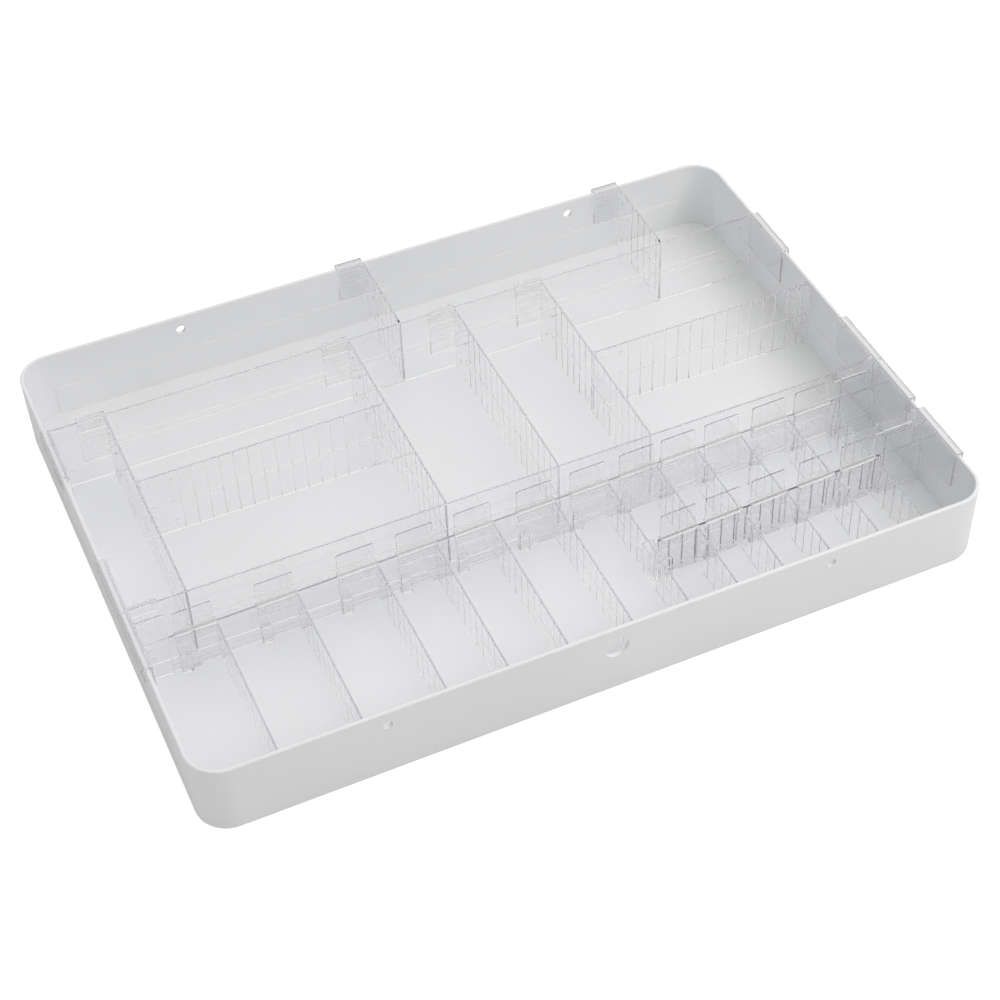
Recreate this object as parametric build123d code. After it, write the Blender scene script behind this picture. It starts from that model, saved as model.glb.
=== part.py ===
from build123d import *
import math
import os

# Drawer organizer insert: a moulded tray with a set of clear hook-on dividers.
# Millimetres. X runs along the long side, Y from front to back, +Z up.
# The origin is the centre of the tray's underside.

os.makedirs("parts", exist_ok=True)

# ---- tray ---------------------------------------------------------------
TRAY_W = 572.0          # over the rim, X
TRAY_D = 419.0          # over the rim, Y
TRAY_H = 60.0
WALL = 3.0
FLOOR = 3.0
DRAFT_DEG = 1.0
CORNER_R = 24.0         # outer corner at the rim
RIM_R = 1.2             # rounding of the rim's two edges
FOOT_R = 2.0            # rounding under the walls
LEDGE_Z = 28.5          # top of the thicker lower wall
LEDGE_T = 0.6
LEDGE_CLEAR = 58.0      # how far the ledge stops short of each corner
SMALL_HOLE_R = 3.5
SMALL_HOLE_X = 160.0
SMALL_HOLE_Z = 47.9
FINGER_HOLE_R = 9.0
FINGER_HOLE_Z = 41.9

# ---- dividers -----------------------------------------------------------
T = 1.6                 # web of a tall divider
TL = 1.5                # web of a low divider
SKIN = 1.4              # hook plates and lips
Z0 = FLOOR + 0.4        # underside of every divider
Z_TOP = 60.5            # top of a tall divider
Z_LOW = 37.5            # top of a low divider or low rail
GAP = 0.35              # clearance between a lip and what it hooks over
SCORE_PITCH = 10.3
SCORE_W = 0.7
SCORE_D = 0.3
PLAIN_END = 27.5        # plain panel before the first score line
MID_SCORE_Z = 31.0

LONG_BACK_Y = 128.0
LONG_MID_Y = -58.5
RAIL_Y_LEFT = -71.5     # front rail at the left wall
RAIL_Y_RIGHT = -61.4    # front rail at the right wall
SHORT_RAIL_X0 = 69.0
SHORT_RAIL_Y_LEFT = -132.3
SHORT_RAIL_Y_RIGHT = -124.3
STRIP_L = 51.0          # rim strip at each end of a long divider
CAP_W = {-1: 20.0, 1: 32.5}     # width of a rail's left and right end caps
HOOK_W = 21.5           # hook of a tall cross divider
TAB_W = 29.5            # hook of a low divider
TAB_Z_LONG = 56.0       # top of a label tab on the long rail
TAB_Z_SHORT = 58.5      # top of a label tab on the short rail
RAIL_SCORE_X = 149.9    # one score line of the short rail
RAIL_SCORE_PITCH = 10.45

CROSS_BACK_X = [-13.0, 204.0]
CROSS_MID_X = [-240.3, -55.0, 29.6, 101.0]
LOW_X = [-227.0, -170.0, -112.0, -68.5, -25.5, 21.5, 63.0, 101.5,
         134.5, 169.5, 208.5, 243.5]
LOW_FRONT_X = [100.0, 135.2, 171.3, 209.8, 244.5]
FILLER_LEFT_Y = 53.0
FILLER_RIGHT_Y = 37.0

taper = math.tan(math.radians(DRAFT_DEG))
half_w, half_d = TRAY_W / 2, TRAY_D / 2


def inner_x(z):
    """Half width between the drafted inner side walls at height z."""
    return half_w - WALL - (TRAY_H - z) * taper


def inner_y(z):
    return half_d - WALL - (TRAY_H - z) * taper


def box(x0, x1, y0, y1, z0, z1):
    return Pos((x0 + x1) / 2, (y0 + y1) / 2, (z0 + z1) / 2) * Box(
        abs(x1 - x0), abs(y1 - y0), abs(z1 - z0))


LOW_SCORE_W = 0.5       # score lines of a low divider are finer
LOW_SCORE_D = 0.14


def notched_plate(length, thick, z0, z1, scores, along_y=False,
                  score_w=SCORE_W, score_d=SCORE_D):
    """Flat web from 0 to length with a V groove on both faces at each score.

    Runs along +X, centred on Y = 0, or along -Y, centred on X = 0.
    """
    h = thick / 2
    low, high = [], []
    for s in scores:
        low += [(s - score_w / 2, -h), (s, -h + score_d), (s + score_w / 2, -h)]
        high += [(s - score_w / 2, h), (s, h - score_d), (s + score_w / 2, h)]
    pts = [(0, -h)] + low + [(length, -h), (length, h)] + high[::-1] + [(0, h)]
    if along_y:
        pts = [(y, -x) for x, y in pts]
    face = make_face(Polyline(*[Vector(x, y, z0) for x, y in pts], close=True))
    return extrude(face, amount=z1 - z0, dir=(0, 0, 1))


def score_line_boxes(x0, x1, thick, z, along_y=False, depth=0.3):
    """Shallow horizontal grooves across both faces of a web."""
    h = thick / 2
    out = []
    for side in (-1, 1):
        a, b = sorted((side * h, side * (h - depth)))
        if side < 0:
            a -= 0.2
        else:
            b += 0.2
        if along_y:
            out.append(box(a, b, -x1, -x0, z - 0.35, z + 0.35))
        else:
            out.append(box(x0, x1, a, b, z - 0.35, z + 0.35))
    return out


def top_nicks(scores, thick, z1, along_y=False, deep=0.7):
    """Small snap nicks where each score line reaches the top edge."""
    out = []
    for s in scores:
        if along_y:
            out.append(box(-thick, thick, -s - 0.5, -s + 0.5, z1 - deep, z1 + 0.5))
        else:
            out.append(box(s - 0.5, s + 0.5, -thick, thick, z1 - deep, z1 + 0.5))
    return out


def eject_marks(points, face_y, direction, r=2.1):
    """Round ejector-pin pads 0.25 high, on a face normal to Y."""
    out = []
    for x, z in points:
        out.append(Pos(x, face_y + direction * 0.1, z) * Rot(90, 0, 0)
                   * Cylinder(r, 0.3))
    return out


def save(shape, name):
    shape.label = name
    export_step(shape, "parts/%s.step" % name)
    print(name, round(shape.volume, 1), "solids", len(shape.solids()))


def fused(items):
    first, rest = items[0], items[1:]
    return (first + rest) if rest else first


def add_fillet(shape, edges, r):
    try:
        out = fillet(edges, r)
        return out if out.is_valid else shape
    except Exception as err:
        print("fillet left out:", err)
        return shape


# ---- tray ---------------------------------------------------------------
e0 = TRAY_H * taper
outer = extrude(
    RectangleRounded(TRAY_W - 2 * e0, TRAY_D - 2 * e0, CORNER_R - e0),
    amount=TRAY_H, taper=-DRAFT_DEG)
ew = (TRAY_H - FLOOR) * taper
inner = Pos(0, 0, FLOOR) * extrude(
    RectangleRounded(TRAY_W - 2 * WALL - 2 * ew, TRAY_D - 2 * WALL - 2 * ew,
                     CORNER_R - WALL - ew),
    amount=TRAY_H - FLOOR, taper=-DRAFT_DEG)
tray = outer - inner
tray = add_fillet(tray, tray.edges().filter_by_position(Axis.Z, TRAY_H - 0.01, TRAY_H + 0.01), RIM_R)
tray = add_fillet(tray, tray.edges().filter_by_position(Axis.Z, -0.01, 0.01), FOOT_R)
lx = inner_x(LEDGE_Z) - LEDGE_T
ly = inner_y(LEDGE_Z) - LEDGE_T
zb = FLOOR - 0.5
ledges = [
    box(lx, lx + 1.6, -half_d + LEDGE_CLEAR, half_d - LEDGE_CLEAR, zb, LEDGE_Z),
    box(-lx - 1.6, -lx, -half_d + LEDGE_CLEAR, half_d - LEDGE_CLEAR, zb, LEDGE_Z),
    box(-half_w + LEDGE_CLEAR - 32, half_w - LEDGE_CLEAR + 32, ly, ly + 1.6, zb, LEDGE_Z),
    box(-half_w + LEDGE_CLEAR - 32, half_w - LEDGE_CLEAR + 32, -ly - 1.6, -ly, zb, LEDGE_Z),
]
tray = tray + ledges
cuts = []
for sx in (-1, 1):
    for sy in (-1, 1):
        cuts.append(Pos(sx * SMALL_HOLE_X, sy * (half_d - 2), SMALL_HOLE_Z)
                    * Rot(90, 0, 0) * Cylinder(SMALL_HOLE_R, 16))
cuts.append(Pos(0, -(half_d - 2), FINGER_HOLE_Z) * Rot(90, 0, 0) * Cylinder(FINGER_HOLE_R, 16))
tray = tray - cuts
save(tray, "tray")


# ---- rim hooks ----------------------------------------------------------
LIP_Z = TRAY_H + GAP            # underside of a lip that sits over the rim
LEG_IN = inner_x(TRAY_H) - GAP  # outer face of a strip's inside leg
LEG_OUT = half_w + GAP          # inner face of a strip's outside leg


def rim_strip(side, y_a, y_b, inner_low=30.8):
    """Inverted U over a side wall's rim, from y_a to y_b. side is -1 or 1."""
    x_in0, x_in1 = LEG_IN - SKIN, LEG_IN
    x_out0, x_out1 = LEG_OUT, LEG_OUT + SKIN
    y0, y1 = min(y_a, y_b), max(y_a, y_b)

    def sided(a, b, z0, z1):
        return box(min(side * a, side * b), max(side * a, side * b), y0, y1, z0, z1)

    zt = LIP_Z + SKIN
    x_low = inner_x(inner_low) - GAP
    # the inside leg hangs straight from the lip, clear of the drafted wall
    leg = sided(x_low - SKIN, x_low, inner_low, zt)
    top = sided(x_low - SKIN, x_out1, LIP_Z, zt)
    out = sided(x_out0, x_out1, 49.5, zt)
    return [leg, top, out]


def rail_points(x, x0, x1, y0, y1):
    return y0 + (y1 - y0) * (x - x0) / (x1 - x0)


X_END = inner_x(Z0) - 0.9


# ---- tall long dividers -------------------------------------------------
def long_divider(y, strip_dir):
    """Plain tall divider across the tray with a rim strip at each end."""
    scores = []
    web = Pos(-X_END, y, 0) * notched_plate(2 * X_END, T, Z0, Z_TOP, scores)
    extra = []
    for side in (-1, 1):
        ya = y - strip_dir * T / 2
        yb = y + strip_dir * (STRIP_L - T / 2)
        extra += rim_strip(side, ya, yb)
        # web reaches the strip above the ledge
        xl = inner_x(30.8) - GAP
        a, b = sorted((side * (X_END - 2), side * (xl - 0.4)))
        extra.append(box(a, b, y - T / 2, y + T / 2, 30.8, Z_TOP))
    body = fused([web] + extra)
    cut = [Pos(0, y, 0) * b for b in
           score_line_boxes(-X_END + 30, X_END - 30, T, 35.5)
           + score_line_boxes(-X_END + 30, X_END - 30, T, 29.5)]
    body = body - cut
    marks = []
    for side in (-1, 1):
        for dx, dz in ((9, 50), (9, 16), (24, 42), (24, 22)):
            marks += eject_marks([(side * (X_END - dx), dz)], y - T / 2, -1)
    return body + marks


save(long_divider(LONG_BACK_Y, -1), "long_divider_back")
save(long_divider(LONG_MID_Y, 1), "long_divider_middle")


# ---- low rails (carry the low dividers) ---------------------------------
def end_cap(side, y_web, y_face, y_back):
    """Full-height end panel joined to a roof that bridges back over y_back."""
    x_a = X_END - CAP_W[side]
    x_b = X_END

    def sx(a, b):
        return (a, b) if side > 0 else (-b, -a)

    xa, xb = sx(x_a, x_b)
    zt = Z_TOP + GAP + SKIN
    panel = box(xa, xb, y_face, y_face + SKIN, Z0, zt)
    ra, rb = sx(x_a, x_b - 0.8)
    roof = box(ra, rb, y_face, y_back + SKIN, zt - SKIN, zt)
    skirt = box(ra, rb, y_back, y_back + SKIN, 51.0, zt)
    ex = sx(x_a, x_a + SKIN)
    lo, hi = min(y_face + 0.3, y_web), max(y_face + SKIN, y_web + T / 2)
    web = box(ex[0], ex[1], lo, hi, Z0, Z_LOW)
    # raised frame along the free edge and the top of the panel
    fx = sx(x_a, x_a + 1.4)
    frame_side = box(fx[0], fx[1], y_face - 0.7, y_face + 0.2, Z0, zt)
    frame_top = box(xa, xb, y_face - 0.7, y_face + 0.2, zt - 1.4, zt)
    return [panel, roof, skirt, web, frame_side, frame_top]


def rail(x0, x1, y0, y1, caps, scores=()):
    """Low straight web between two points. caps is (side, face, back, strip, strip length)."""
    length = math.hypot(x1 - x0, y1 - y0)
    ang = math.degrees(math.atan2(y1 - y0, x1 - x0))
    web = notched_plate(length, T, Z0, Z_LOW, list(scores), score_w=1.0, score_d=0.45)
    foot = box(0, length, -T / 2 - 0.35, T / 2, Z0 + 0.6, Z0 + 3.2)
    step = box(0, length, -T / 2 - 0.2, T / 2, Z0 + 5.4, Z0 + 7.4)
    body = Pos(x0, y0, 0) * Rot(0, 0, ang) * fused([web, foot, step])
    items = [body]
    for side, y_face, y_back, strip_y, strip_l in caps:
        items += end_cap(side, y1 if side > 0 else y0, y_face, y_back)
        items += rim_strip(side, strip_y, strip_y - strip_l)
        a, b = X_END - 2, inner_x(30.8) - GAP - 0.4
        items.append(box(min(side * a, side * b), max(side * a, side * b),
                         y_face, y_face + SKIN, 30.8, LIP_Z + SKIN))
    body = fused(items)
    for side, y_face, y_back, strip_y, strip_l in caps:
        body = body + eject_marks([(side * (X_END - 8), 50), (side * (X_END - 8), 22)],
                                  y_face, -1)
    return body


BACK_OF_MID = LONG_MID_Y + T / 2 + GAP
STRIP_Y = LONG_MID_Y - T / 2 - 0.6
BOND = 0.08                     # bond line


def save_rail(body, left, right, name):
    """Saves the straight rail and its bonded end caps as separate solids."""
    lo = CAP_W[-1] - X_END if left else -300.0
    hi = X_END - CAP_W[1] if right else 300.0
    save(body & box(lo + BOND / 2, hi - BOND / 2, -250, 50, 0, 80), name)
    if left:
        save(body & box(-300, lo - BOND / 2, -250, 50, 0, 80), left)
    if right:
        save(body & box(hi + BOND / 2, 300, -250, 50, 0, 80), right)


save_rail(rail(-X_END, X_END, RAIL_Y_LEFT, RAIL_Y_RIGHT,
               [(-1, RAIL_Y_LEFT - 1.2, BACK_OF_MID, STRIP_Y, STRIP_L + 1.0),
                (1, RAIL_Y_RIGHT - 7.6, BACK_OF_MID, STRIP_Y, STRIP_L - 5.0)]),
          "rail_cap_left", "rail_cap_right", "low_rail_long")
# the short rail is a scored length of the same extrusion, snapped off at its left end
short_scores = [RAIL_SCORE_X - SHORT_RAIL_X0 + k * RAIL_SCORE_PITCH for k in range(-7, 10)]
save_rail(rail(SHORT_RAIL_X0, X_END, SHORT_RAIL_Y_LEFT, SHORT_RAIL_Y_RIGHT,
               [(1, SHORT_RAIL_Y_RIGHT - 6.2, SHORT_RAIL_Y_RIGHT + 6.0,
                 SHORT_RAIL_Y_RIGHT + 7.4, STRIP_L + 1.0)], short_scores),
          None, "rail_cap_front", "low_rail_short")


# ---- clip that holds the cut end of the short rail on a low divider -----
clip_x = LOW_X[6]
cy1 = SHORT_RAIL_Y_LEFT + 1.4
cy0 = cy1 - 24.0
clip_lo, clip_hi = clip_x - TL / 2 - GAP, clip_x + TL / 2 + GAP
zt = Z_LOW + GAP
clip = fused([
    box(clip_lo - 5.2, clip_hi + SKIN, cy0, cy1, zt, zt + SKIN),
    box(clip_lo - 5.2, clip_lo - 5.2 + SKIN, cy0, cy1, 24.0, zt + SKIN),
    box(clip_hi, clip_hi + SKIN, cy0, cy1, 12.0, zt + SKIN),
    # socket that takes the rail's cut end
    box(clip_hi + SKIN - 0.2, clip_hi + SKIN + 4.5, SHORT_RAIL_Y_LEFT - T / 2 - 0.25 - SKIN,
        SHORT_RAIL_Y_LEFT - T / 2 - 0.75, 12.0, Z_LOW),
])
save(clip, "rail_end_clip")


# ---- tall cross dividers ------------------------------------------------
def cross_divider(x, y_hook, hook_t, y_front, back_wall, z_lip):
    """Tall divider along Y. It hooks over the back wall or over a long divider."""
    # y_hook is the front face of the thing hooked over, hook_t its thickness
    y_plate1 = y_hook - GAP
    y_plate0 = y_plate1 - SKIN
    length = y_plate0 - y_front + 0.6
    n0 = PLAIN_END
    scores = [n0 + i * SCORE_PITCH for i in range(40) if n0 + i * SCORE_PITCH < length - 4]
    web = notched_plate(length, T, Z0, Z_TOP, scores, along_y=True)
    web = web - (score_line_boxes(n0, length, T, MID_SCORE_Z, along_y=True)
                 + top_nicks(scores, T, Z_TOP, along_y=True))
    web = Pos(x - T / 2, y_plate0 + 0.6, 0) * web
    if back_wall:
        # rounded top corner at the free end
        corner = web.edges().filter_by(Axis.X).sort_by(
            lambda ed: ed.center().Y - ed.center().Z)[0]
        web = add_fillet(web, [corner], 4.0)
    zt = z_lip + SKIN
    xa, xb = x - HOOK_W, x
    leg1 = y_hook + hook_t + GAP
    items = [
        web,
        box(xa, xb, y_plate0, y_plate1, 23.0 if not back_wall else 31.5, zt),
        box(xa, xb, y_plate0, leg1 + SKIN, z_lip, zt),
        box(xa, xb, leg1, leg1 + SKIN, 50.0, zt),
    ]
    for k in range(4):
        zr = 57.0 - k * 4.2
        items.append(box(xa + 1.0, xb - T, y_plate0 - 0.3, y_plate0 + 0.2, zr - 0.6, zr + 0.6))
    body = fused(items)
    # ejector marks on the plain panel
    marks = []
    for dy, dz in ((8, 50), (8, 15), (20, 42), (20, 21)):
        marks.append(Pos(x - T - 0.1, y_plate0 - dy, dz) * Rot(0, 90, 0) * Cylinder(2.1, 0.3))
    return body + marks


iy = inner_y(31.5)
for i, x in enumerate(CROSS_BACK_X):
    save(cross_divider(x, iy, half_d - iy, LONG_BACK_Y + T / 2 + 1.6, True, LIP_Z),
         "cross_divider_back_%d" % (i + 1))
for i, x in enumerate(CROSS_MID_X):
    save(cross_divider(x, LONG_BACK_Y - T / 2, T, LONG_MID_Y + T / 2 + 1.0, False, Z_TOP + GAP),
         "cross_divider_middle_%d" % (i + 1))


# ---- filler dividers between two cross dividers -------------------------
def filler(x0, x1, y, tab_end):
    length = x1 - x0
    n0 = PLAIN_END
    scores = [n0 + i * SCORE_PITCH for i in range(40) if n0 + i * SCORE_PITCH < length - 6]
    web = notched_plate(length, T, Z0, Z_TOP, scores)
    web = web - (score_line_boxes(n0, length, T, MID_SCORE_Z) + top_nicks(scores, T, Z_TOP))
    items = [web]
    # stiff edges where the cut ends stand against their neighbours
    items.append(box(0, 1.2, -T / 2 - 1.0, T / 2 + 1.0, Z0, Z_TOP))
    if tab_end:
        items.append(box(length - 9, length - 7.8, -T / 2 - 2.6, T / 2 + 2.6, 20.0, Z_TOP))
        items.append(box(length - 1.2, length, -T / 2 - 2.6, T / 2 + 2.6, 20.0, Z_TOP))
    body = Pos(x0, y, 0) * fused(items)
    marks = []
    for dx, dz in ((7, 52), (7, 30), (7, 10), (22, 52), (22, 31), (22, 12)):
        marks += eject_marks([(x0 + dx, dz)], y - T / 2, -1)
    return body + marks


save(filler(CROSS_MID_X[0] + 1.0, CROSS_MID_X[1] - T - 1.2, FILLER_LEFT_Y, False), "filler_divider_left")
save(filler(CROSS_MID_X[3] + 1.0, inner_x(Z0) - 1.2, FILLER_RIGHT_Y, True), "filler_divider_right")


# ---- low dividers -------------------------------------------------------
def low_divider(x, y_rail, ang, y_front, z_tab, grips):
    """Low divider along Y, hooked over a low rail.

    The hook is a plate in front of the rail, a lip over its top edge and a thin
    leg behind it. The leg carries on above the lip as a label tab.
    """
    w = TAB_W
    f = -T / 2 - GAP - 0.35            # back face of the front plate, clear of the rail's foot
    b = T / 2 + GAP                    # front face of the back leg
    leg_t = 1.1
    zt = Z_LOW + GAP
    plate = box(-w, 0, f - SKIN, f, Z0, zt + SKIN)
    lip = box(-w, 0, f - SKIN, b + leg_t, zt, zt + SKIN)
    tab = box(-w + 1.2, -1.2, b, b + leg_t, 26.0, z_tab)
    tab_edges = tab.edges().filter_by(Axis.Y).sort_by(Axis.Z)[-2:]
    tab = add_fillet(tab, tab_edges, 1.8)
    # bead along the front edge of the lip, with a knob at its left end
    bead = box(-w, 0, f - SKIN - 0.4, f - SKIN + 0.8, zt + SKIN - 0.5, zt + SKIN + 0.3)
    knob = box(-w, -w + 1.4, f - SKIN - 0.7, f - SKIN + 0.5, zt - 4.5, zt + SKIN + 0.3)
    rib = box(-w + 0.4, -w + 7.4, f - SKIN - 2.8, f - SKIN + 0.3, Z0, 21.0)
    parts = [plate, lip, tab, bead, knob, rib]
    for z in grips:
        parts.append(box(-w + 1.0, -1, f - SKIN - 0.4, f - SKIN + 0.2, z - 0.5, z + 0.5))
    head = Rot(0, 0, ang) * fused(parts)
    y_top = y_rail + f - SKIN + 0.5
    length = y_top - y_front
    n0 = 17.0
    scores = [n0 + i * SCORE_PITCH for i in range(20) if n0 + i * SCORE_PITCH < length - 4]
    web = notched_plate(length, TL, Z0, Z_LOW + 0.2, scores, along_y=True,
                        score_w=LOW_SCORE_W, score_d=LOW_SCORE_D)
    web = web - (score_line_boxes(n0, length, TL, 20.0, along_y=True, depth=LOW_SCORE_D)
                 + top_nicks(scores, TL, Z_LOW + 0.2, along_y=True, deep=0.35))
    web = Pos(x - TL / 2, y_top, 0) * web
    head = Pos(x, y_rail, 0) * head
    body = web + head
    marks = [Pos(x - TL - 0.1, y_top - dy, dz) * Rot(0, 90, 0) * Cylinder(1.8, 0.3)
             for dy, dz in ((7, 30), (7, 11))]
    return body + marks


ang1 = math.degrees(math.atan2(RAIL_Y_RIGHT - RAIL_Y_LEFT, 2 * X_END))
ang2 = math.degrees(math.atan2(SHORT_RAIL_Y_RIGHT - SHORT_RAIL_Y_LEFT, X_END - SHORT_RAIL_X0))
Y_FRONT = -(inner_y(Z0) - 1.0)
for i, x in enumerate(LOW_X):
    yr = rail_points(x, -X_END, X_END, RAIL_Y_LEFT, RAIL_Y_RIGHT)
    if i <= 6:
        yf = Y_FRONT
    else:
        yf = rail_points(x, SHORT_RAIL_X0, X_END, SHORT_RAIL_Y_LEFT, SHORT_RAIL_Y_RIGHT) + 4.2
    save(low_divider(x, yr, ang1, yf, TAB_Z_LONG, (36.4, 33.1, Z0 + 3.5, Z0 + 7.5)),
         "low_divider_%02d" % (i + 1))
for i, x in enumerate(LOW_FRONT_X):
    yr = rail_points(x, SHORT_RAIL_X0, X_END, SHORT_RAIL_Y_LEFT, SHORT_RAIL_Y_RIGHT)
    save(low_divider(x, yr, ang2, Y_FRONT, TAB_Z_SHORT, (34.5, Z0 + 2.0)),
         "low_divider_%02d" % (i + 13))
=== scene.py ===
import math

import bpy
from mathutils import Matrix, Vector

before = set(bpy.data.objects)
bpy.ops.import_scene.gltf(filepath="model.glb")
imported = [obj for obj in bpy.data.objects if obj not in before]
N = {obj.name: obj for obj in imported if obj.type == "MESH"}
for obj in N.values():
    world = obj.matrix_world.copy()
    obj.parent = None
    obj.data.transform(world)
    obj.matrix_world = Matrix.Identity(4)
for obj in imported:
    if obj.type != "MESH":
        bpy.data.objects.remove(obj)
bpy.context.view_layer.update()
scene = bpy.context.scene


# ---------------------------------------------------------------- node helpers
def new_material(name):
    m = bpy.data.materials.new(name)
    m.use_nodes = True
    nt = m.node_tree
    nt.nodes.clear()
    return m, nt, nt.nodes, nt.links


def node(nt, kind, x=0, y=0, **props):
    n = nt.nodes.new(kind)
    n.location = (x, y)
    for k, v in props.items():
        setattr(n, k, v)
    return n


def noise(nt, coord, scale, detail=3.0, rough=0.5, x=-900, y=0):
    t = node(nt, "ShaderNodeTexNoise", x, y)
    t.inputs["Scale"].default_value = scale
    t.inputs["Detail"].default_value = detail
    t.inputs["Roughness"].default_value = rough
    nt.links.new(coord, t.inputs["Vector"])
    return t


def ranged(nt, value, lo, hi, a=0.3, b=0.7, x=-600, y=0):
    r = node(nt, "ShaderNodeMapRange", x, y)
    r.inputs["From Min"].default_value = a
    r.inputs["From Max"].default_value = b
    r.inputs["To Min"].default_value = lo
    r.inputs["To Max"].default_value = hi
    nt.links.new(value, r.inputs["Value"])
    return r.outputs["Result"]


# ---------------------------------------------------------------- materials
def tray_material():
    m, nt, nodes, links = new_material("tray_plastic_satin")
    out = node(nt, "ShaderNodeOutputMaterial", 500, 0)
    p = node(nt, "ShaderNodeBsdfPrincipled", 200, 0)
    co = node(nt, "ShaderNodeTexCoord", -1200, 0).outputs["Object"]

    # flow clouding of the moulding, a few centimetres across, hardly there
    cloud = noise(nt, co, 9.0, 2.0, 0.5, -900, 300)
    mix = node(nt, "ShaderNodeMix", -250, 300, data_type="RGBA")
    mix.inputs["A"].default_value = (0.828, 0.834, 0.830, 1)
    mix.inputs["B"].default_value = (0.850, 0.855, 0.852, 1)
    links.new(ranged(nt, cloud.outputs["Fac"], 0.0, 1.0, 0.35, 0.65, -600, 300), mix.inputs["Factor"])
    links.new(mix.outputs["Result"], p.inputs["Base Color"])

    # satin sheen that changes a little over the surface, with faint handling marks
    marks = noise(nt, co, 38.0, 4.0, 0.6, -900, 0)
    links.new(ranged(nt, marks.outputs["Fac"], 0.36, 0.47, 0.3, 0.7, -600, 0), p.inputs["Roughness"])

    # fine spark-eroded mould texture
    fine = noise(nt, co, 2600.0, 2.0, 0.6, -900, -300)
    soft = noise(nt, co, 60.0, 1.0, 0.4, -900, -600)
    b1 = node(nt, "ShaderNodeBump", -250, -500)
    b1.inputs["Strength"].default_value = 0.05
    b1.inputs["Distance"].default_value = 0.0006
    links.new(soft.outputs["Fac"], b1.inputs["Height"])
    b2 = node(nt, "ShaderNodeBump", -50, -400)
    b2.inputs["Strength"].default_value = 0.10
    b2.inputs["Distance"].default_value = 0.00008
    links.new(fine.outputs["Fac"], b2.inputs["Height"])
    links.new(b1.outputs["Normal"], b2.inputs["Normal"])
    links.new(b2.outputs["Normal"], p.inputs["Normal"])
    p.inputs["IOR"].default_value = 1.5
    p.inputs["Specular IOR Level"].default_value = 0.45
    links.new(p.outputs["BSDF"], out.inputs["Surface"])
    return m


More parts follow.
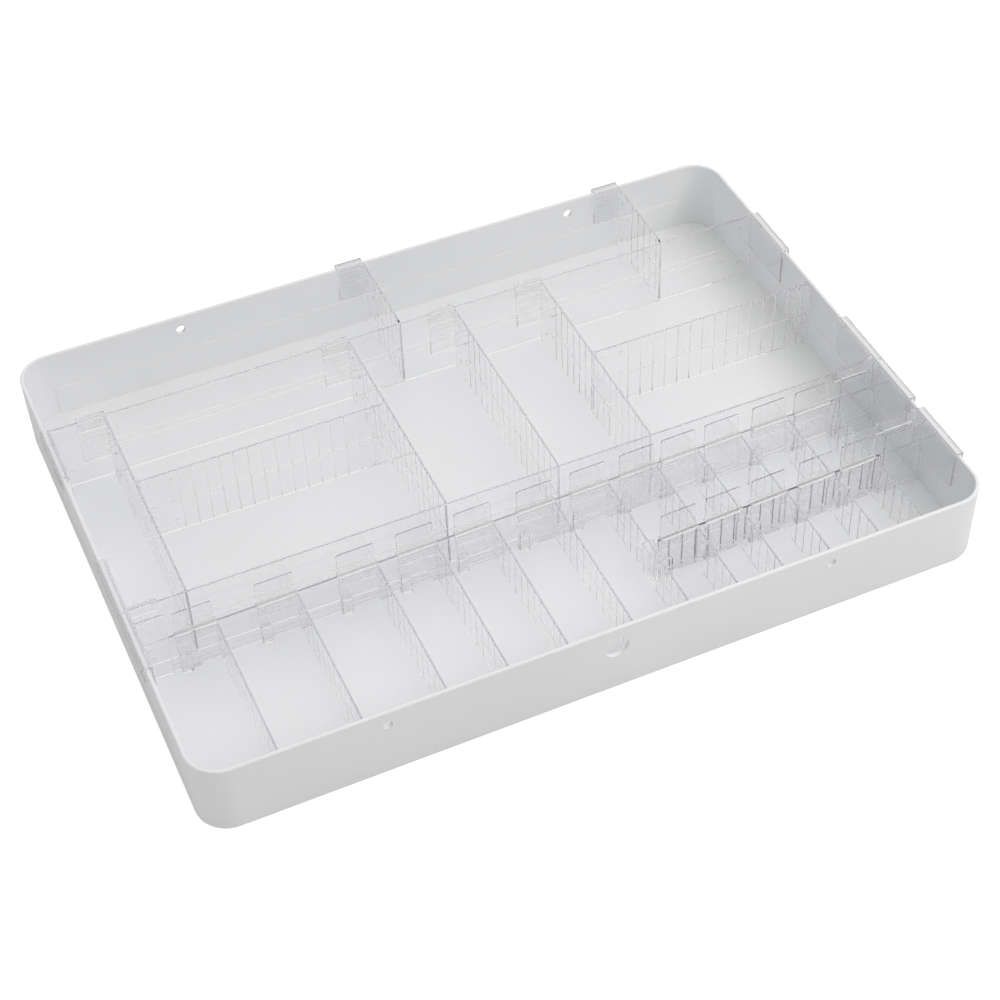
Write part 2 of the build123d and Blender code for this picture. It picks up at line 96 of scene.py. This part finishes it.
def clear_material(name, tint, rough_lo, rough_hi, wave, seed, absorb=(0.42, 0.42, 0.46, 1), density=5.0,
                   lips=None, tops=None, lip_highlight_colour=(0.86, 0.86, 0.80, 1), lip_highlight_cover=0.35):
    """Water-clear styrene: real refraction for the eye, and light passes it like a window.

    lips is (low, high): level faces between these heights get a painted highlight, a patchy, slightly warm white
    diffuse skin that stands in for the sky reflected off the lip tops.
    tops is (low, high): level faces between these heights, the cut top edges, get a painted shade, a darker grey
    tint.
    """
    m, nt, nodes, links = new_material(name)
    out = node(nt, "ShaderNodeOutputMaterial", 700, 0)
    g = node(nt, "ShaderNodeBsdfPrincipled", 200, 100)
    g.inputs["Base Color"].default_value = tint
    g.inputs["Transmission Weight"].default_value = 1.0
    g.inputs["IOR"].default_value = 1.50
    co = node(nt, "ShaderNodeTexCoord", -1400, 0).outputs["Object"]
    mp = node(nt, "ShaderNodeMapping", -1200, 0)
    mp.inputs["Location"].default_value = (seed * 0.37, seed * 0.11, seed * 0.23)
    links.new(co, mp.inputs["Vector"])
    co = mp.outputs["Vector"]
    # handling haze
    haze = noise(nt, co, 30.0, 3.0, 0.55, -900, 200)
    links.new(ranged(nt, haze.outputs["Fac"], rough_lo, rough_hi, 0.4, 0.75, -600, 200), g.inputs["Roughness"])
    # gentle unevenness of a moulded sheet
    sheet = noise(nt, co, 14.0, 2.0, 0.45, -900, -200)
    b = node(nt, "ShaderNodeBump", -200, -200)
    b.inputs["Strength"].default_value = 0.35
    b.inputs["Distance"].default_value = wave
    links.new(sheet.outputs["Fac"], b.inputs["Height"])
    links.new(b.outputs["Normal"], g.inputs["Normal"])
    seen = g.outputs["BSDF"]

    def level_band(lo, hi, y):
        """1 on faces that look up or down between two heights, 0 elsewhere."""
        geo = node(nt, "ShaderNodeNewGeometry", -700, y)
        raw = node(nt, "ShaderNodeTexCoord", -700, y + 200)
        sp = node(nt, "ShaderNodeSeparateXYZ", -500, y + 200)
        links.new(raw.outputs["Object"], sp.inputs["Vector"])
        sn = node(nt, "ShaderNodeSeparateXYZ", -500, y)
        links.new(geo.outputs["Normal"], sn.inputs["Vector"])
        size = node(nt, "ShaderNodeMath", -400, y, operation="ABSOLUTE")
        links.new(sn.outputs["Z"], size.inputs[0])
        up = node(nt, "ShaderNodeMath", -300, y, operation="GREATER_THAN")
        links.new(size.outputs[0], up.inputs[0])
        up.inputs[1].default_value = 0.6
        above = node(nt, "ShaderNodeMath", -300, 900, operation="GREATER_THAN")
        links.new(sp.outputs["Z"], above.inputs[0])
        above.inputs[1].default_value = lo
        below = node(nt, "ShaderNodeMath", -300, 1050, operation="LESS_THAN")
        links.new(sp.outputs["Z"], below.inputs[0])
        below.inputs[1].default_value = hi
        band = node(nt, "ShaderNodeMath", -150, 950, operation="MULTIPLY")
        links.new(above.outputs[0], band.inputs[0])
        links.new(below.outputs[0], band.inputs[1])
        both = node(nt, "ShaderNodeMath", 0, 850, operation="MULTIPLY")
        links.new(band.outputs[0], both.inputs[0])
        links.new(up.outputs[0], both.inputs[1])
        return both.outputs[0]

    # painted shade: the level top edges of the webs are tinted darker grey
    if tops:
        top_shade_mask = level_band(tops[0], tops[1], -900)
        top_shade_mix = node(nt, "ShaderNodeMix", -100, -700, data_type="RGBA")
        top_shade_mix.inputs["A"].default_value = tint
        top_shade_mix.inputs["B"].default_value = (0.80, 0.80, 0.83, 1)
        links.new(top_shade_mask, top_shade_mix.inputs["Factor"])
        links.new(top_shade_mix.outputs["Result"], g.inputs["Base Color"])
    # painted highlight: a patchy warm white diffuse coat on the level lip faces stands in for reflected sky
    if lips:
        lip_highlight_mask = level_band(lips[0], lips[1], 700)
        fine = noise(nt, co, 900.0, 2.0, 0.6, -300, 1250)
        lip_highlight_amount = node(nt, "ShaderNodeMath", 150, 900, operation="MULTIPLY")
        links.new(ranged(nt, fine.outputs["Fac"], lip_highlight_cover * 0.8, lip_highlight_cover * 1.2, 0.35, 0.65, -100, 1250), lip_highlight_amount.inputs[0])
        links.new(lip_highlight_mask, lip_highlight_amount.inputs[1])
        lip_highlight_bsdf = node(nt, "ShaderNodeBsdfDiffuse", 200, 700)
        lip_highlight_bsdf.inputs["Color"].default_value = lip_highlight_colour
        lip_highlight_mix = node(nt, "ShaderNodeMixShader", 330, 500)
        links.new(lip_highlight_amount.outputs[0], lip_highlight_mix.inputs["Fac"])
        links.new(g.outputs["BSDF"], lip_highlight_mix.inputs[1])
        links.new(lip_highlight_bsdf.outputs["BSDF"], lip_highlight_mix.inputs[2])
        seen = lip_highlight_mix.outputs["Shader"]
    # lamp light and light scattered by the tray pass straight through
    t = node(nt, "ShaderNodeBsdfTransparent", 200, -300)
    t.inputs["Color"].default_value = (0.965, 0.967, 0.972, 1)
    lp = node(nt, "ShaderNodeLightPath", 200, 500)
    scattered = node(nt, "ShaderNodeMixShader", 400, 100)
    links.new(lp.outputs["Is Diffuse Ray"], scattered.inputs["Fac"])
    links.new(seen, scattered.inputs[1])
    links.new(t.outputs["BSDF"], scattered.inputs[2])
    mix = node(nt, "ShaderNodeMixShader", 550, 0)
    links.new(lp.outputs["Is Shadow Ray"], mix.inputs["Fac"])
    links.new(scattered.outputs["Shader"], mix.inputs[1])
    links.new(t.outputs["BSDF"], mix.inputs[2])
    links.new(mix.outputs["Shader"], out.inputs["Surface"])
    # long ways through the plastic, as behind an edge, look darker
    vol = node(nt, "ShaderNodeVolumeAbsorption", 500, -300)
    vol.inputs["Color"].default_value = absorb
    vol.inputs["Density"].default_value = density
    links.new(vol.outputs["Volume"], out.inputs["Volume"])
    return m


MAT_TRAY = tray_material()
CLEAR = (0.978, 0.978, 0.979, 1)
MAT_TALL = clear_material("clear_styrene_tall", CLEAR, 0.0, 0.03, 0.0006, 1)
MAT_RAIL = clear_material("clear_styrene_rail", CLEAR, 0.0, 0.03, 0.0006, 2)
# the two straight rails are seen edge-on from above, where the plastic looks dark violet
MAT_RAIL_LONG = clear_material("clear_styrene_rail_long", CLEAR, 0.0, 0.03, 0.0006, 4, (0.40, 0.38, 0.46, 1), 22.0)
MAT_RAIL_SHORT = clear_material("clear_styrene_rail_short", CLEAR, 0.0, 0.03, 0.0006, 5, (0.38, 0.34, 0.46, 1), 62.0)
MAT_LOW = clear_material("clear_styrene_low", CLEAR, 0.0, 0.03, 0.0005, 3, lips=(0.0388, 0.0402),
                         tops=(0.0368, 0.0379))
# moulded edges: painted shade, a darker tint on the narrow rounded faces, which gather light from far away and look
# darker
MAT_EDGE = clear_material("clear_styrene_edge", (0.66, 0.66, 0.69, 1), 0.08, 0.14, 0.0003, 6)
MAT_EDGE_MID = clear_material("clear_styrene_edge_mid", (0.54, 0.53, 0.60, 1), 0.08, 0.14, 0.0003, 8)
MAT_EDGE_DARK = clear_material("clear_styrene_edge_dark", (0.34, 0.32, 0.40, 1), 0.08, 0.14, 0.0003, 7)


def set_material(o, m):
    if not o.data.materials:
        o.data.materials.append(m)
    for i in range(len(o.material_slots)):
        o.material_slots[i].material = m


for name, o in N.items():
    if name == "tray":
        set_material(o, MAT_TRAY)
    elif name == "low_rail_short":
        set_material(o, MAT_RAIL_SHORT)
    elif name == "low_rail_long":
        set_material(o, MAT_RAIL_LONG)
    elif name.startswith("rail_"):
        set_material(o, MAT_RAIL)
    elif name.startswith("low_divider"):
        set_material(o, MAT_LOW)
    else:
        set_material(o, MAT_TALL)

# every moulded edge is slightly rounded, which is what catches the light
for name, o in N.items():
    b = o.modifiers.new("soft_edges", "BEVEL")
    b.width = 0.0003 if name != "tray" else 0.0004
    b.segments = 2
    b.limit_method = "ANGLE"
    b.angle_limit = math.radians(40)
    b.use_clamp_overlap = True
    b.harden_normals = True
    if name != "tray":
        # painted shade: the bevel faces take the darker edge tint, darkest on the short rail and end clip, darker
        # and more violet on the middle long divider, the right and front caps and the pieces whose names end in 13
        # to 17
        if name in ("low_rail_short", "rail_end_clip"):
            edge = MAT_EDGE_DARK
        elif name in ("long_divider_middle", "rail_cap_right", "rail_cap_front") or name[-2:] in ("13", "14", "15", "16", "17"):
            edge = MAT_EDGE_MID
        else:
            edge = MAT_EDGE
        o.data.materials.append(edge)
        b.material = len(o.data.materials) - 1

# ---------------------------------------------------------------- floor, light, camera
bpy.ops.mesh.primitive_plane_add(size=60.0, location=(0, 0, -0.0001))
floor = bpy.context.object
floor.name = "studio_floor"
fm, nt, nodes, links = new_material("studio_paper")
out = node(nt, "ShaderNodeOutputMaterial", 400, 0)
p = node(nt, "ShaderNodeBsdfPrincipled", 100, 0)
co = node(nt, "ShaderNodeTexCoord", -900, 0).outputs["Object"]
pn = noise(nt, co, 3.0, 2.0, 0.5, -700, 0)
mx = node(nt, "ShaderNodeMix", -200, 0, data_type="RGBA")
mx.inputs["A"].default_value = (0.94, 0.94, 0.94, 1)
mx.inputs["B"].default_value = (0.955, 0.955, 0.955, 1)
links.new(pn.outputs["Fac"], mx.inputs["Factor"])
links.new(mx.outputs["Result"], p.inputs["Base Color"])
p.inputs["Roughness"].default_value = 0.9
p.inputs["Specular IOR Level"].default_value = 0.1
p.inputs["Emission Color"].default_value = (1, 1, 1, 1)
p.inputs["Emission Strength"].default_value = 0.50
dim = node(nt, "ShaderNodeBsdfDiffuse", 100, -400)
dim.inputs["Color"].default_value = (0.72, 0.72, 0.72, 1)
lp = node(nt, "ShaderNodeLightPath", 100, 400)
ms = node(nt, "ShaderNodeMixShader", 300, 0)
links.new(lp.outputs["Is Camera Ray"], ms.inputs["Fac"])
links.new(dim.outputs["BSDF"], ms.inputs[1])
links.new(p.outputs["BSDF"], ms.inputs[2])
links.new(ms.outputs["Shader"], out.inputs["Surface"])
set_material(floor, fm)

world = bpy.data.worlds.new("studio")
scene.world = world
world.use_nodes = True
wt = world.node_tree
wt.nodes.clear()
w_out = node(wt, "ShaderNodeOutputWorld", 600, 0)
bg = node(wt, "ShaderNodeBackground", 400, 0)
w_co = node(wt, "ShaderNodeTexCoord", -800, 0)


def patch(direction, inner, outer, x, y):
    """1 inside a round patch of sky around direction, 0 outside it."""
    d = node(wt, "ShaderNodeVectorMath", x, y, operation="DOT_PRODUCT")
    d.inputs[1].default_value = Vector(direction).normalized()
    wt.links.new(w_co.outputs["Generated"], d.inputs[0])
    r = node(wt, "ShaderNodeMapRange", x + 200, y, interpolation_type="SMOOTHSTEP")
    r.inputs["From Min"].default_value = math.cos(math.radians(outer))
    r.inputs["From Max"].default_value = math.cos(math.radians(inner))
    wt.links.new(d.outputs["Value"], r.inputs["Value"])
    return r.outputs["Result"]


def sky_mix(fac, a, colour, x, y):
    m = node(wt, "ShaderNodeMix", x, y, data_type="RGBA")
    wt.links.new(fac, m.inputs["Factor"])
    if isinstance(a, tuple):
        m.inputs["A"].default_value = a
    else:
        wt.links.new(a, m.inputs["A"])
    m.inputs["B"].default_value = colour
    return m.outputs["Result"]


sky = sky_mix(patch((1.0, 0.5, 0.3), 20, 75, -600, 300), (0.36, 0.362, 0.36, 1), (0.37, 0.36, 0.45, 1), -200, 300)
sky = sky_mix(patch((0.30, 0.64, 0.71), 16, 26, -600, 0), sky, (1.0, 1.0, 0.98, 1), 0, 200)
wt.links.new(sky, bg.inputs["Color"])
bg.inputs["Strength"].default_value = 1.0
wt.links.new(bg.outputs["Background"], w_out.inputs["Surface"])


def area(name, loc, target, size, power, color=(1, 1, 1)):
    d = bpy.data.lights.new(name, "AREA")
    d.shape = "RECTANGLE"
    d.size, d.size_y = size
    d.energy = power
    d.color = color
    o = bpy.data.objects.new(name, d)
    scene.collection.objects.link(o)
    o.location = loc
    v = Vector(target) - Vector(loc)
    o.rotation_euler = v.to_track_quat("-Z", "Y").to_euler()
    o.visible_glossy = False
    o.visible_transmission = False
    return o


area("ceiling", (0, 0, 2.6), (0, 0, 0), (6.0, 6.0), 47, (1.0, 1.0, 0.975))
area("side_softbox", (1.1, -1.1, 1.5), (0.05, 0, 0), (1.6, 1.4), 19.5, (1.0, 0.985, 1.0))
area("left_fill", (-2.0, 0.1, 0.8), (0.1, 0, 0.03), (1.2, 0.8), 4.2, (0.88, 0.86, 1.0))
area("left_low", (-2.0, 0.0, 0.05), (-0.28, 0, 0.03), (1.2, 0.1), 1.6, (1.0, 0.99, 0.94))

F, CX, CY = 2193.0, 568.0, 477.0
cam_pos = Vector((-0.4169, -1.0388, 1.1314))
yaw, pitch, roll = (math.radians(a) for a in (24.78, 45.13, -0.58))
fwd = Vector((math.cos(pitch) * math.sin(yaw), math.cos(pitch) * math.cos(yaw), -math.sin(pitch)))
right0 = Vector((math.cos(yaw), -math.sin(yaw), 0))
up0 = right0.cross(fwd)
r = right0 * math.cos(roll) + up0 * math.sin(roll)
u = -right0 * math.sin(roll) + up0 * math.cos(roll)
cam_data = bpy.data.cameras.new("camera")
cam = bpy.data.objects.new("camera", cam_data)
scene.collection.objects.link(cam)
rot = Matrix((r, u, -fwd)).transposed().to_4x4()
cam.matrix_world = Matrix.Translation(cam_pos) @ rot
cam_data.sensor_width = 36.0
cam_data.lens = F / 1000.0 * 36.0
cam_data.shift_x = (500.0 - CX) / 1000.0
cam_data.shift_y = (CY - 500.0) / 1000.0
cam_data.clip_start = 0.01
cam_data.clip_end = 200.0
scene.camera = cam

scene.view_settings.view_transform = "Standard"
scene.view_settings.look = "None"
scene.cycles.max_bounces = 96
scene.cycles.transmission_bounces = 96
scene.cycles.glossy_bounces = 96
scene.cycles.diffuse_bounces = 4
scene.cycles.caustics_reflective = False
scene.cycles.caustics_refractive = False
scene.cycles.transparent_max_bounces = 64
